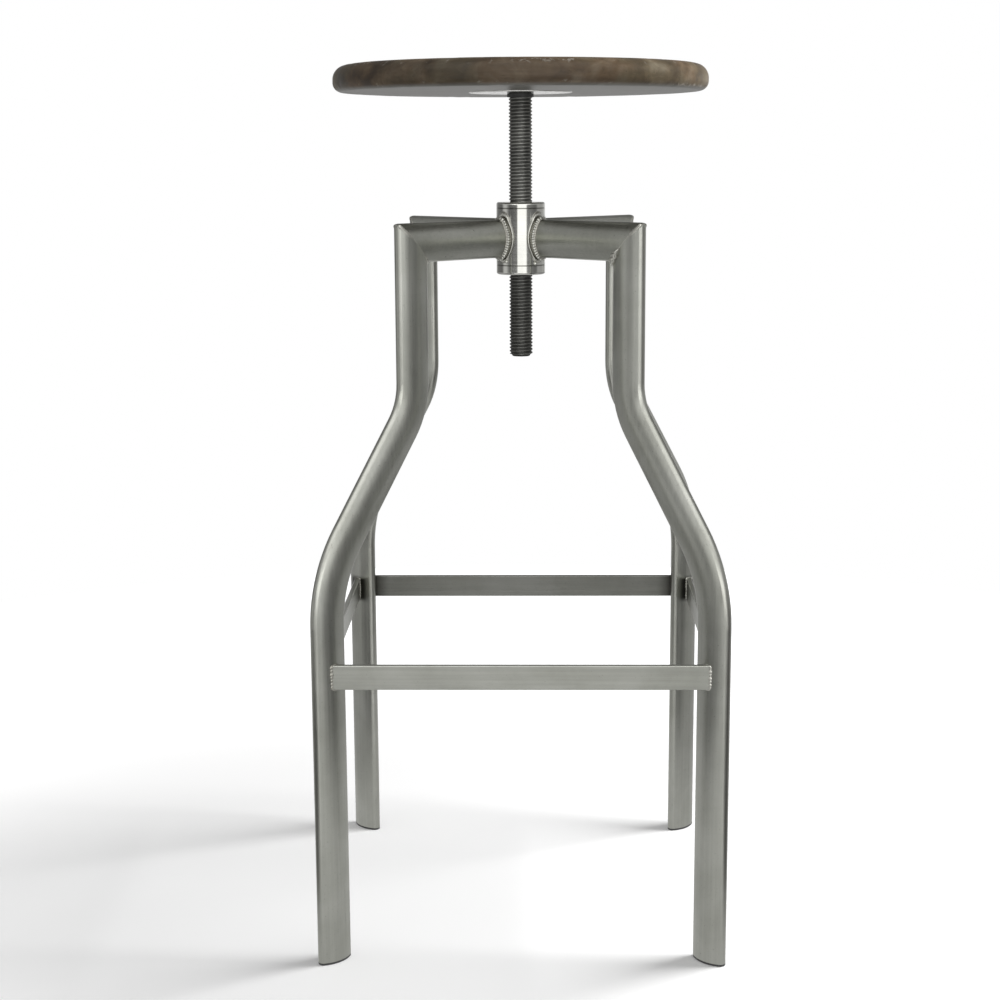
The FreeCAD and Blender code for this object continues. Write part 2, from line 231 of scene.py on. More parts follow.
def oval_loop(count):
    """Points evenly round the tube's outline: depth, width, the normal in both, and the travel"""
    side_radius, side_offset, join = oval_arcs()
    nose_centre = TUBE_HALF_DEPTH - TUBE_NOSE_RADIUS
    arcs = [(-join, join, TUBE_NOSE_RADIUS, nose_centre, 0.0),
            (join, math.pi - join, side_radius, 0.0, -side_offset),
            (math.pi - join, math.pi + join, TUBE_NOSE_RADIUS, -nose_centre, 0.0),
            (math.pi + join, 2 * math.pi - join, side_radius, 0.0, side_offset)]
    lengths = [(end - start) * radius for start, end, radius, _, _ in arcs]
    loop = []
    for number in range(count):
        travel = left = sum(lengths) * number / count
        for arc, length in zip(arcs, lengths):
            if left <= length:
                break
            left -= length
        start, _, radius, depth_centre, width_centre = arc
        angle = start + left / radius
        depth = depth_centre + radius * math.cos(angle)
        width = width_centre + radius * math.sin(angle)
        loop.append((depth, width, math.cos(angle), math.sin(angle), travel))
    return loop, sum(lengths)


def saddle_row(spot, number, pitch):
    """Points across a saddle bead, from its edge on the hub to its edge on the arm"""
    depth, width, depth_normal, width_normal, travel = spot
    wander = noise.noise(Vector((travel * 160, number * 7.0, 0.3)))
    ripple = lump(travel + SADDLE_WANDER * wander, pitch)
    tail = 1 + 1.5 * max(depth_normal, 0) ** 3 + 0.7 * max(-depth_normal, 0) ** 3
    row = []
    for share in SADDLE_SHARES:
        along_hub = max(-share, 0) * SADDLE_ON_HUB * tail
        side = width + width_normal * along_hub
        base = Vector((math.sqrt(HUB_RADIUS ** 2 - side ** 2), side,
                       ARM_HEIGHT + depth + depth_normal * along_hub))
        base.x += max(share, 0) * SADDLE_ON_ARM
        towards_arm = smooth_share((share + 0.35) / 0.7)
        out = Vector((base.x, base.y, 0)).normalized() * (1 - 0.7 * towards_arm)
        out += Vector((0, width_normal, depth_normal)) * (0.3 + 0.7 * towards_arm)
        line = SADDLE_LINE * hill(share, *LINE_ACROSS)
        bed = SADDLE_BED * smooth_share((share + 0.12) / 0.22) * smooth_share((1.0 - share) / 0.4)
        ripples = SADDLE_RIPPLES * (0.1 + 0.9 * ripple + 0.3 * wander) * hill(share, *RIPPLES_ACROSS)
        row.append(base + out.normalized() * (line + bed + ripples - SADDLE_SINK * rim_share(share)))
    return row


def weld_drop(verts, faces, turn, offset, number):
    """Adds a round drop of weld metal on the hub, just under an arm"""
    height = ARM_HEIGHT - TUBE_HALF_DEPTH - DROP_UNDER_ARM + DROP_STEP * (number % 3)
    middle = Vector((HUB_RADIUS * math.cos(offset), HUB_RADIUS * math.sin(offset), height))
    rings, steps = 7, 18
    first = len(verts)
    for ring in range(rings):
        lift = math.radians(-80 + 160 * ring / (rings - 1))
        reach = DROP_SIZE * math.cos(lift)
        for step in range(steps + 1):
            angle = 2 * math.pi * step / steps
            across = Vector((reach * math.cos(angle), reach * math.sin(angle), DROP_SIZE * math.sin(lift)))
            verts.append(turn @ (middle + across))
    faces.extend(grid_faces(rings, steps + 1, False, first))


def saddle_welds():
    """Beads round the arms at the hub: a smooth line on the hub and a row of ripples on the arm"""
    loop, length = oval_loop(330)
    pitch = length / round(length / SADDLE_PITCH)
    verts, faces = [], []
    for number, direction in enumerate(CORNERS.values()):
        turn = turn_about_axis(direction)
        bead(verts, faces, [saddle_row(spot, number, pitch) for spot in loop], turn)
        weld_drop(verts, faces, turn, math.radians(-DROP_ASIDE if number % 2 else DROP_ASIDE), number)
    return mesh_piece("saddle_welds", verts, faces, "frame", "arm_welds")


def mitre_row(spot, number, spread, half_width, full_height, rippled):
    """Points across a mitre bead, from its edge on the arm to its edge on the leg"""
    depth, width, depth_normal, width_normal, travel = spot
    inside = smooth_share((spread - depth) / MITRE_INNER_GROWTH)
    outside = smooth_share((depth - MITRE_OUTER_START) / MITRE_OUTER_GROWTH)
    wander = noise.noise(Vector((travel * 110, number * 5.0, 2.1)))
    ripple = lump(travel + MITRE_WANDER * wander, MITRE_PITCH)
    reach = MITRE_SEAM + MITRE_OUTER * outside + inside * half_width * (0.9 + 0.3 * wander)
    height = MITRE_SEAM_HEIGHT + inside * full_height * (1 - rippled + rippled * ripple + 0.3 * wander)
    fold = math.tan(math.acos(width_normal ** 2) / 2)
    shoulder = outside * reach * SHOULDER_SHARE / 2 * fold
    out = Vector((depth_normal, 2 * width_normal, depth_normal)).normalized()
    depth = min(depth, TUBE_HALF_DEPTH - CORNER_ROUND * (1 - math.sqrt(0.5)))
    corner = Vector((LEG_TOP_RADIUS + depth, width, ARM_HEIGHT + depth))
    row = []
    for share in MITRE_SHARES:
        base = corner + Vector((min(share, 0), 0, -max(share, 0))) * reach
        across = abs(share) / SHOULDER_SHARE
        rounding = across * (2 - across) if across < 1 else 1 - smooth_share((across - 1) * 1.5)
        rise = height * (1 - abs(share) ** 3) + shoulder * rounding
        row.append(base + out * (rise - MITRE_SINK * rim_share(share)))
    return row


def mitre_welds():
    """Beads along the mitres: ground round outside, full in the inside corners"""
    loop = oval_loop(280)[0]
    verts, faces = [], []
    for number, (corner, direction) in enumerate(CORNERS.items()):
        rows = [mitre_row(spot, number, *MITRE_BEADS[corner]) for spot in loop]
        bead(verts, faces, rows, turn_about_axis(direction))
    return mesh_piece("mitre_welds", verts, faces, "frame", "corner_welds")


def leg_side(across):
    """Distance along a rail, from its middle, at which a line at this distance out meets the leg"""
    side_radius, side_offset = oval_arcs()[:2]
    middle = LEG_FOOT_RADIUS * math.sqrt(0.5)
    low, high = 0.0, middle
    halvings = 40
    for _ in range(halvings):
        along = (low + high) / 2
        depth = (across - middle + along - middle) * math.sqrt(0.5)
        width = (middle - across + along - middle) * math.sqrt(0.5)
        outside = math.hypot(depth, width - side_offset) > side_radius
        low, high = (along, high) if outside else (low, along)
    return along


def rail_end_loop():
    """Points round a rail's end with the direction out of the rail's surface there and the travel"""
    inner, outer = RAIL_LOW.x + RAIL_ROUND, RAIL_HIGH.x - RAIL_ROUND
    low, high = RAIL_LOW.z + RAIL_ROUND, RAIL_HIGH.z - RAIL_ROUND
    outline = []
    for x, z, start in ((outer, high, 0), (inner, high, 90), (inner, low, 180), (outer, low, 270)):
        for part in range(5):
            angle = math.radians(start + part * 22.5)
            facing = Vector((math.cos(angle), 0, math.sin(angle)))
            outline.append((Vector((x, 0, z)) + facing * RAIL_ROUND, facing))
    loop, travel = [], 0.0
    for (here, facing), (there, next_facing) in zip(outline, outline[1:] + outline[:1]):
        length = (there - here).length
        pieces = max(1, round(length / RAIL_STEP))
        for part in range(pieces):
            share = part / pieces
            loop.append((here.lerp(there, share), facing.lerp(next_facing, share).normalized(),
                         travel + share * length))
        travel += length
    return loop


def rail_row(spot, number, end):
    """Points across a rail's bead, from its edge on the rail to its edge on the leg"""
    place, facing, travel = spot
    wander = noise.noise(Vector((travel * 210, number * 3.0 + end, 5.7)))
    ripple = lump(travel + RAIL_WANDER * wander, RAIL_PITCH)
    size = RAIL_BEAD * (0.7 + 0.5 * ripple + 0.6 * wander)
    out = (facing + Vector((0, -1, 0))).normalized()
    row = []
    for share in RAIL_SHARES:
        base = place + facing * max(share, 0) * size
        base.y = leg_side(base.x) - max(-share, 0) * size
        point = base + out * (size * 0.8 * (1 - abs(share) ** 2) - RAIL_SINK * rim_share(share))
        row.append(Vector((point.x, point.y * end, point.z)))
    return row


def rail_end_welds():
    """Rippled beads all round both ends of the four rails"""
    loop = rail_end_loop()
    verts, faces = [], []
    for number, direction in enumerate(SIDES.values()):
        for end in (-1, 1):
            rows = [rail_row(spot, number, end) for spot in loop]
            bead(verts, faces, rows, turn_about_axis(direction))
    return mesh_piece("rail_end_welds", verts, faces, "frame", "rail_welds")


def seat_profile():
    """Half section of the seat from the middle of the underside round to the middle of the top"""
    flat = SEAT_RADIUS - SEAT_BOTTOM_ROUND
    points = [(flat * share, SEAT_LOW.z) for share in UNDERSIDE_SHARES]
    for step in range(11):
        angle = math.radians(-90 + 9 * step)
        points.append((flat + SEAT_BOTTOM_ROUND * math.cos(angle),
                       SEAT_LOW.z + SEAT_BOTTOM_ROUND * (1 + math.sin(angle))))
    points.append((SEAT_RADIUS, (SEAT_LOW.z + SEAT_BOTTOM_ROUND + SEAT_HIGH.z - SEAT_TOP_ROUND) / 2))
    flat = SEAT_RADIUS - SEAT_TOP_ROUND
    for step in range(15):
        angle = math.radians(90 * step / 14)
        points.append((flat + SEAT_TOP_ROUND * math.cos(angle),
                       SEAT_HIGH.z - SEAT_TOP_ROUND * (1 - math.sin(angle))))
    points += [(flat * share, SEAT_HIGH.z) for share in TOP_SHARES]
    return points


def wooden_seat():
    """Turned seat with the slight hollows and dents of a hand-finished, worn board"""
    profile = seat_profile()
    centre = Vector((0, 0, (SEAT_LOW.z + SEAT_HIGH.z) / 2))
    verts = []
    for number in range(SEAT_STEPS):
        angle = 2 * math.pi * number / SEAT_STEPS
        for radius, height in profile:
            point = Vector((radius * math.cos(angle), radius * math.sin(angle), height))
            swell = 0.5 + 0.5 * noise.noise(point * 26)
            dent = max(0, noise.noise(point * 95 + Vector((3, 1, 7))) - 0.25)
            depth = rim_share(radius / SEAT_RADIUS) * (SEAT_HOLLOW * swell + SEAT_DENT * dent)
            inward = centre - point
            inward = Vector((inward.x, inward.y, inward.z * 9)).normalized()
            verts.append(point + inward * depth)
    faces = grid_faces(SEAT_STEPS, len(profile), True)
    return mesh_piece("wooden_seat", verts, faces, "seat", "seat_board")


# Surfaces

class Tree:
    """A node tree with short ways to add and join its nodes"""

    def __init__(self, tree):
        self.nodes = tree.nodes
        self.links = tree.links

    def add(self, kind, **settings):
        node = self.nodes.new(kind)
        for key, value in settings.items():
            setattr(node, key, value)
        return node

    def join(self, source, target):
        self.links.new(source, target)

    def feed(self, socket, value):
        if hasattr(value, "links"):
            self.join(value, socket)
        else:
            socket.default_value = value

    def split(self, vector):
        node = self.add("ShaderNodeSeparateXYZ")
        self.join(vector, node.inputs["Vector"])
        return node.outputs["X"], node.outputs["Y"], node.outputs["Z"]

    def ramp(self, value, *stops):
        """Colours, or greys given as numbers, at places along a value from 0 to 1"""
        node = self.add("ShaderNodeValToRGB")
        self.join(value, node.inputs["Fac"])
        elements = node.color_ramp.elements
        while len(elements) < len(stops):
            elements.new(0.5)
        for element, (position, colour) in zip(elements, stops):
            element.position = position
            element.color = colour if hasattr(colour, "__len__") else (colour, colour, colour, 1)
        return node.outputs["Color"]

    def fit(self, value, low, high, to_low=0.0, to_high=1.0, curve="SMOOTHSTEP"):
        node = self.add("ShaderNodeMapRange", interpolation_type=curve)
        self.join(value, node.inputs["Value"])
        for key, number in (("From Min", low), ("From Max", high), ("To Min", to_low), ("To Max", to_high)):
            node.inputs[key].default_value = number
        return node.outputs["Result"]

    def maths(self, operation, first, second=0.0):
        node = self.add("ShaderNodeMath", operation=operation)
        self.feed(node.inputs[0], first)
        self.feed(node.inputs[1], second)
        return node.outputs["Value"]

    def far_from(self, value, middle):
        """Distance of a value from a middle, either way"""
        return self.maths("ABSOLUTE", self.maths("SUBTRACT", value, middle))

    def hypotenuse(self, first, second):
        squares = [self.maths("MULTIPLY", value, value) for value in (first, second)]
        return self.maths("SQRT", self.maths("ADD", *squares))

    def blend(self, share, first, second):
        """A number between two others"""
        node = self.add("ShaderNodeMix", data_type="FLOAT")
        self.join(share, node.inputs["Factor"])
        self.join(first, node.inputs["A"])
        self.join(second, node.inputs["B"])
        return node.outputs["Result"]

    def choose(self, share, first, second):
        """A shader between two others"""
        node = self.add("ShaderNodeMixShader")
        self.join(share, node.inputs["Fac"])
        self.join(first, node.inputs[1])
        self.join(second, node.inputs[2])
        return node.outputs["Shader"]


class Surface(Tree):
    """A material with its Principled shader, and with places in the object's own coordinates"""

    def __init__(self, name, metallic=0.0, coat=0.0, coat_roughness=0.1, specular=0.5):
        self.material = bpy.data.materials.new(name)
        self.material.use_nodes = True
        super().__init__(self.material.node_tree)
        self.shader = self.nodes["Principled BSDF"]
        self.shader.inputs["Metallic"].default_value = metallic
        self.shader.inputs["Coat Weight"].default_value = coat
        self.shader.inputs["Coat Roughness"].default_value = coat_roughness
        self.shader.inputs["Specular IOR Level"].default_value = specular
        self.place = self.add("ShaderNodeTexCoord").outputs["Object"]

    def axes(self):
        return self.split(self.place)

    def stretched(self, scale, turn=0.0):
        node = self.add("ShaderNodeMapping")
        self.join(self.place, node.inputs["Vector"])
        node.inputs["Rotation"].default_value = (0, 0, math.radians(turn))
        node.inputs["Scale"].default_value = scale
        return node.outputs["Vector"]

    def noise(self, place, scale, detail=3.0, rough=0.5, warp=0.0):
        node = self.add("ShaderNodeTexNoise")
        self.join(place, node.inputs["Vector"])
        node.inputs["Scale"].default_value = scale
        node.inputs["Detail"].default_value = detail
        node.inputs["Roughness"].default_value = rough
        node.inputs["Distortion"].default_value = warp
        return node.outputs["Fac"]

    def mix(self, share, first, second, blend="MIX"):
        """A colour between two others"""
        node = self.add("ShaderNodeMix", data_type="RGBA", blend_type=blend)
        self.feed(node.inputs["Factor"], share)
        colours = [socket for socket in node.inputs if socket.type == "RGBA"]
        self.feed(colours[0], first)
        self.feed(colours[1], second)
        return [socket for socket in node.outputs if socket.type == "RGBA"][0]

    def colour(self, value):
        self.join(value, self.shader.inputs["Base Color"])

    def rough(self, value):
        self.join(value, self.shader.inputs["Roughness"])

    def bump(self, height, distance, strength=1.0):
        node = self.add("ShaderNodeBump")
        self.join(height, node.inputs["Height"])
        node.inputs["Distance"].default_value = distance
        node.inputs["Strength"].default_value = strength
        self.join(node.outputs["Normal"], self.shader.inputs["Normal"])


def frame_steel(name, grain, turn=0.0, tone=1.0, painted_shade=None):
    """Bare steel under clear lacquer, brushed along the tube, with faint clouding, and painted shade where a
    mask is given
    """
    surface = Surface(name, metallic=0.97, coat=0.06, coat_roughness=0.2)
    streaks = surface.noise(surface.stretched(grain, turn), 1.0, 4.0, 0.6)
    clouds = surface.noise(surface.place, 22.0, 4.0, 0.55, 0.4)
    specks = surface.noise(surface.place, 900.0, 2.0, 0.5)
    dark = tuple(tone * value for value in (0.400, 0.405, 0.362)) + (1.0,)
    pale = tuple(tone * value for value in (0.495, 0.500, 0.458)) + (1.0,)
    colour = surface.ramp(clouds, (0.30, dark), (0.72, pale))
    colour = surface.mix(0.35, colour, surface.ramp(streaks, (0.25, 0.55), (0.75, 1.0)), "MULTIPLY")
    colour = surface.mix(surface.fit(specks, 0.66, 0.76, 0.0, 0.5), colour, linear(70, 68, 60))
    # Where a mask is given, the steel turns dark grey there: painted shade and painted reflection near the
    # rails' ends
    if painted_shade:
        colour = surface.mix(painted_shade(surface), colour, linear(46, 44, 40))
    surface.colour(colour)
    surface.rough(surface.fit(streaks, 0.2, 0.8, 0.27, 0.34))
    surface.bump(streaks, 0.00003, 0.5)
    return surface.material


def leg_painted_shade(surface):
    """Painted shade of the back legs round the ends of the rails, from 0 to 1"""
    x, y, z = surface.axes()
    aside = surface.maths("ABSOLUTE", x)
    rail_end = leg_side(RAIL_MIDDLE.x)
    shades = []
    for along, across in ((aside, y), (y, aside)):
        away = surface.hypotenuse(surface.maths("SUBTRACT", along, rail_end),
                                  surface.maths("SUBTRACT", across, RAIL_MIDDLE.x))
        shades.append(surface.fit(away, *LEG_SHADE_REACH, 0.92, 0.0))
    half = (RAIL_HIGH.z - RAIL_LOW.z) / 2
    fade = [half + edge for edge in LEG_SHADE_EDGE]
    level = surface.fit(surface.far_from(z, RAIL_MIDDLE.z), *fade, 1.0, 0.0)
    return surface.maths("MULTIPLY", surface.maths("MAXIMUM", *shades), level)


def rail_painted_shade(surface):
    """Painted shade of a rail that lies along X, near both its ends"""
    aside = surface.maths("ABSOLUTE", surface.axes()[0])
    end = leg_side(RAIL_MIDDLE.x)
    return surface.fit(aside, *[end - reach for reach in RAIL_SHADE_REACH], 0.0, 0.8)


def hub_steel(name):
    """Bright turned steel with fine rings round the axis and dark seams at the sleeve's ends"""
    surface = Surface(name, metallic=1.0)
    rings = surface.noise(surface.stretched((12, 12, 2600)), 1.0, 3.0, 0.6)
    clouds = surface.noise(surface.place, 60.0, 3.0, 0.5)
    colour = surface.ramp(rings, (0.25, linear(190, 190, 184)), (0.75, linear(208, 208, 203)))
    colour = surface.mix(0.4, colour, surface.ramp(clouds, (0.3, 0.8), (0.7, 1.0)), "MULTIPLY")
    height = surface.axes()[2]
    for seam in (SLEEVE_LOW.z, SLEEVE_HIGH.z):
        soot = surface.fit(surface.far_from(height, seam), *SEAM_REACH, 0.0, 0.35)
        colour = surface.mix(soot, colour, linear(52, 50, 46))
    surface.colour(colour)
    surface.rough(surface.fit(rings, 0.2, 0.8, 0.09, 0.15))
    surface.bump(rings, 0.00001, 0.3)
    return surface.material


def weld_steel(name):
    """Weld metal, pale on its convex tops and a darker brown-grey in its hollows"""
    surface = Surface(name, metallic=0.95, coat=0.1, coat_roughness=0.2)
    fine = surface.noise(surface.place, 420.0, 4.0, 0.6)
    coarse = surface.noise(surface.place, 120.0, 3.0, 0.5)
    tops = surface.fit(surface.add("ShaderNodeNewGeometry").outputs["Pointiness"], 0.46, 0.56)
    colour = surface.mix(tops, linear(150, 148, 139), linear(216, 216, 208))
    surface.colour(surface.mix(0.5, colour, surface.ramp(coarse, (0.3, 0.7), (0.7, 1.0)), "MULTIPLY"))
    surface.rough(surface.fit(fine, 0.3, 0.7, 0.24, 0.42))
    surface.bump(fine, 0.00012, 0.6)
    return surface.material


def screw_steel(name):
    """Blackened thread, paler grey along its crests, and darkened below the hub as painted shade"""
    surface = Surface(name, metallic=0.9, coat=0.15, coat_roughness=0.3)
    x, y, z = surface.axes()
    wear = surface.noise(surface.place, 260.0, 4.0, 0.6)
    clouds = surface.noise(surface.place, 45.0, 3.0, 0.5)
    wander = surface.maths("MULTIPLY", wear, CREST_WANDER)
    crest = surface.fit(surface.maths("ADD", surface.hypotenuse(x, y), wander), *CREST_RADII)
    black = surface.ramp(clouds, (0.3, (0.045, 0.045, 0.041, 1)), (0.7, (0.080, 0.080, 0.073, 1)))
    grey = surface.ramp(clouds, (0.3, (0.22, 0.22, 0.205, 1)), (0.7, (0.32, 0.32, 0.298, 1)))
    # Darker towards the bottom, below the hub: painted shade
    painted_shade_below = surface.fit(z, SLEEVE_LOW.z + SHADE_BELOW_FADE, SLEEVE_LOW.z - SHADE_BELOW_FADE, 0.0, 0.55)
    surface.colour(surface.mix(painted_shade_below, surface.mix(crest, black, grey), (0.030, 0.030, 0.027, 1)))
    surface.rough(surface.fit(wear, 0.3, 0.7, 0.40, 0.56))
    surface.bump(wear, 0.00006, 0.5)
    return surface.material


def flange_steel(name):
    """Zinc-plated sheet with faint spangle and rolling marks"""
    surface = Surface(name, metallic=1.0)
    spangle = surface.noise(surface.place, 180.0, 3.0, 0.5, 1.0)
    rolling = surface.noise(surface.stretched((8, 700, 8)), 1.0, 3.0, 0.6)
    colour = surface.ramp(spangle, (0.3, linear(220, 219, 214)), (0.7, linear(236, 235, 231)))
    surface.colour(surface.mix(0.2, colour, surface.ramp(rolling, (0.3, 0.8), (0.7, 1.0)), "MULTIPLY"))
    surface.rough(surface.fit(spangle, 0.3, 0.7, 0.16, 0.26))
    surface.bump(rolling, 0.00001, 0.2)
    return surface.material


def dull_black(name, base, roughness, grain):
    """Moulded rubber or plastic with a fine grain and scuffs"""
    surface = Surface(name)
    fine = surface.noise(surface.place, grain, 3.0, 0.6)
    scuffs = surface.noise(surface.place, 130.0, 4.0, 0.6, 0.6)
    pale = tuple(2.2 * value for value in base[:3]) + (1.0,)
    surface.colour(surface.mix(surface.fit(scuffs, 0.55, 0.75, 0.0, 0.7), base, pale))
    surface.rough(surface.fit(fine, 0.3, 0.7, roughness - 0.08, roughness + 0.08))
    surface.bump(fine, 0.00005, 0.5)
    return surface.material


def seat_stain_and_light(surface, blotches):
    """Cloudy stain between a red and an olive brown, paler to the right as painted light, and a little paler
    in the middle
    """
    x = surface.axes()[0]
    broad = surface.noise(surface.place, 9.0, 2.0, 0.5)
    stain_and_light = surface.fit(surface.far_from(x, PALER_MIDDLE), *PALER_REACH, 0.03, 0.0)
    # The share along X makes the seat paler towards the right: painted light
    for source, share in ((broad, 0.35), (blotches, 0.65), (x, 0.28)):
        stain_and_light = surface.maths("ADD", stain_and_light, surface.maths("MULTIPLY", source, share))
    red = surface.ramp(stain_and_light, (0.36, (0.056, 0.036, 0.020, 1)), (0.52, (0.132, 0.090, 0.052, 1)),
                       (0.66, (0.215, 0.165, 0.112, 1)))
    olive = surface.ramp(stain_and_light, (0.36, (0.056, 0.041, 0.023, 1)), (0.52, (0.126, 0.097, 0.058, 1)),
                         (0.66, (0.210, 0.177, 0.124, 1)))
    hue = surface.noise(surface.stretched((1, 1, 1), 40), 21.0, 2.0, 0.5, 0.3)
    return surface.mix(surface.fit(hue, 0.42, 0.58), red, olive)


def seat_scuffs(surface):
    """Rubbed spots along the seat's edges, from 0 to 1, most at the front's top and low right"""
    x, y, z = surface.axes()
    top_edge = surface.fit(z, *[SEAT_HIGH.z - depth for depth in TOP_EDGE])
    low_edge = surface.fit(z, *[SEAT_LOW.z + depth for depth in LOW_EDGE])
    rim = surface.fit(surface.hypotenuse(x, y), *[SEAT_RADIUS - depth for depth in RIM_EDGE])
    edges = surface.maths("MULTIPLY", rim, surface.maths("MAXIMUM", top_edge, low_edge))
    front = surface.fit(y, *FRONT_START, 0.0, 0.12)
    rubbed = surface.noise(surface.place, 150.0, 5.0, 0.65, 0.5)
    for (spot, reach), edge in ((TOP_SPOT, top_edge), (LOW_SPOT, low_edge)):
        near = surface.fit(surface.far_from(x, spot), reach * 0.4, reach, 1.0, 0.0)
        worn = surface.maths("MULTIPLY", near, front)
        rubbed = surface.maths("ADD", rubbed, surface.maths("MULTIPLY", worn, edge))
    return surface.maths("MULTIPLY", edges, surface.fit(rubbed, 0.60, 0.70, 0.0, 0.75))


def seat_wood(name):
    """Dark stained boards: grain along X, cloudy stain with painted light towards the right, rubbed edges,
    and a paler underside
    """
    surface = Surface(name, specular=0.35)
    grain = surface.noise(surface.stretched((7, 150, 190)), 1.0, 5.0, 0.62, 0.6)
    pores = surface.noise(surface.stretched((40, 900, 900)), 1.0, 3.0, 0.6)
    blotches = surface.noise(surface.place, 34.0, 3.0, 0.55, 0.8)
    rings = surface.add("ShaderNodeTexWave", wave_type="BANDS", bands_direction="Y", wave_profile="SAW")
    surface.join(surface.stretched((0.35, 1.0, 1.3)), rings.inputs["Vector"])
    for key, number in (("Scale", 26.0), ("Distortion", 7.0), ("Detail", 3.0), ("Detail Scale", 1.2)):
        rings.inputs[key].default_value = number
    ring_tone = surface.ramp(rings.outputs["Fac"], (0.0, 0.6), (1.0, 1.0))
    colour = seat_stain_and_light(surface, blotches)
    colour = surface.mix(0.55, colour, surface.ramp(grain, (0.28, 0.45), (0.62, 1.0)), "MULTIPLY")
    colour = surface.mix(0.35, colour, ring_tone, "MULTIPLY")
    colour = surface.mix(surface.fit(pores, 0.62, 0.72, 0.0, 0.6), colour, (0.025, 0.018, 0.012, 1))
    colour = surface.mix(seat_scuffs(surface), colour, (0.34, 0.31, 0.265, 1))
    under = surface.fit(surface.axes()[2], *[SEAT_LOW.z + height for height in UNDER_EDGE])
    bare = surface.ramp(grain, (0.3, (0.105, 0.099, 0.086, 1)), (0.7, (0.165, 0.158, 0.140, 1)))
    surface.colour(surface.mix(under, colour, bare))
    side_rough = surface.fit(blotches, 0.3, 0.7, 0.36, 0.52)
    under_rough = surface.fit(grain, 0.3, 0.7, 0.33, 0.41)
    surface.rough(surface.blend(under, side_rough, under_rough))
    surface.bump(surface.maths("ADD", grain, surface.maths("MULTIPLY", pores, -0.6)), 0.00025, 0.5)
    return surface.material


def dress(node, material):
    piece = NODES[node]
    piece.data.materials.clear()
    piece.data.materials.append(material)


def dress_all():
    """Gives each solid its surface, and makes the finer pieces with theirs"""
    leg = frame_steel("leg_steel", (420, 420, 9), painted_shade=leg_painted_shade)
    plug = dull_black("plug_plastic", (0.050, 0.050, 0.049, 1), 0.5, 1400.0)
    arm_first = frame_steel("arm_steel_first", (9, 420, 420), -45)
    arm_second = frame_steel("arm_steel_second", (9, 420, 420), 45)
    arms = {"back_right": arm_first, "front_left": arm_first,
            "back_left": arm_second, "front_right": arm_second}
    for corner in CORNERS:
        dress("leg_" + corner, leg)
        dress("foot_plug_" + corner, plug)
        dress("arm_" + corner, arms[corner])
    along = frame_steel("rail_steel_along", (420, 9, 420))
    rails = {"front": frame_steel("rail_steel_across", (9, 420, 420), tone=0.92),
             # The back rail's darker tone (0.47) is painted shade: a darker copy of the same steel for the
             # rail that lies in deeper shade
             "back": frame_steel("rail_steel_back_painted_shade", (9, 420, 420), tone=0.47, painted_shade=rail_painted_shade),
             "left": along, "right": along}
    for side in SIDES:
        dress("rail_" + side, rails[side])
    hub = hub_steel("hub_steel")
    for node in ("hub_sleeve", "upper_bush", "lower_bush"):
        dress(node, hub)
    dress("lift_screw", screw_steel("screw_steel"))
    zinc = flange_steel("flange_steel")
    dress("seat_flange", zinc)
    dress("flange_screws", zinc)
    dress("stop_ring", dull_black("stop_rubber", (0.030, 0.030, 0.028, 1), 0.45, 900.0))
    weld = weld_steel("weld_steel")
    dress("post_weld", weld)
    for piece in (saddle_welds(), mitre_welds(), rail_end_welds()):
        piece.data.materials.append(weld)
    wooden_seat().data.materials.append(seat_wood("seat_wood"))


# Studio: a white floor that runs into a white surround, and soft light

# The floor's radius, where its tone and its lift to white for the camera change, and both near and far
FLOOR_RADIUS = 1.4
FLOOR_FADE = (0.35, 1.0)
FLOOR_TONE = (0.85, 0.5)
FLOOR_LIFT = (0.12, 0.85)
# The floor as the metal shows it: levels before and under the stool and where they change along Y,
# where it ends aside, the level past its sides behind the stool, and the level everywhere
SWEEP_FRONT = (-0.5, -0.15)
SWEEP_LEVELS = (0.72, 0.56)
SWEEP_EDGE = (0.22, 0.42)
SWEEP_REAR = (-0.15, -0.03)
SWEEP_FLANK = 0.36
SWEEP_BASE = 0.11
# Even light of the surround on matt surfaces
AMBIENT = 0.4
# Brightness of the light tent as the metal shows it, in degrees to the right of the camera's side:
# its skirt, then for each layer above it the sine of the height at which it starts, and its levels
TENT_SKIRT = [(-180, 0.6), (-140, 0.4), (-95, 0.52), (-80, 0.7), (-58, 0.62), (-40, 0.9), (-30, 1.4),
              (-18, 1.3), (-9, 0.42), (7, 0.42), (15, 1.1), (33, 1.15), (44, 0.6), (54, 0.25),
              (100, 0.25), (140, 0.4), (180, 0.6)]
TENT_WALLS = [(-180, 0.98), (-160, 0.68), (-137, 0.24), (-100, 0.16), (-93, 0.35), (-87, 0.72),
              (-72, 0.72), (-63, 0.34), (-54, 0.14), (-30, 0.17), (-17, 0.2), (-14, 1.9), (26, 1.9),
              (30, 0.3), (55, 0.25), (72, 0.18), (80, 0.23), (88, 0.5), (118, 0.5), (137, 0.65),
              (155, 0.9), (180, 0.98)]
TENT_BAND = [(-180, 0.6), (-137, 0.24), (-100, 0.3), (-90, 0.55), (-70, 0.6), (-50, 0.5), (-38, 1.6),
             (-28, 3.0), (30, 3.0), (40, 1.6), (52, 0.6), (72, 0.5), (90, 0.52), (118, 0.4),
             (140, 0.45), (180, 0.6)]
TENT_ROOF = [(-180, 0.22), (-120, 0.22), (-95, 0.5), (-60, 0.5), (-40, 1.1), (40, 1.1), (60, 0.55),
             (95, 0.55), (120, 0.25), (180, 0.22)]
TENT_TOP = [(-180, 0.22), (-110, 0.22), (-75, 0.6), (-55, 1.8), (55, 1.8), (75, 0.6), (110, 0.25),
            (180, 0.22)]
TENT_LAYERS = [(-0.115, -0.075, TENT_WALLS), (0.06, 0.12, TENT_BAND), (0.2, 0.32, TENT_ROOF),
               (0.48, 0.6, TENT_TOP)]
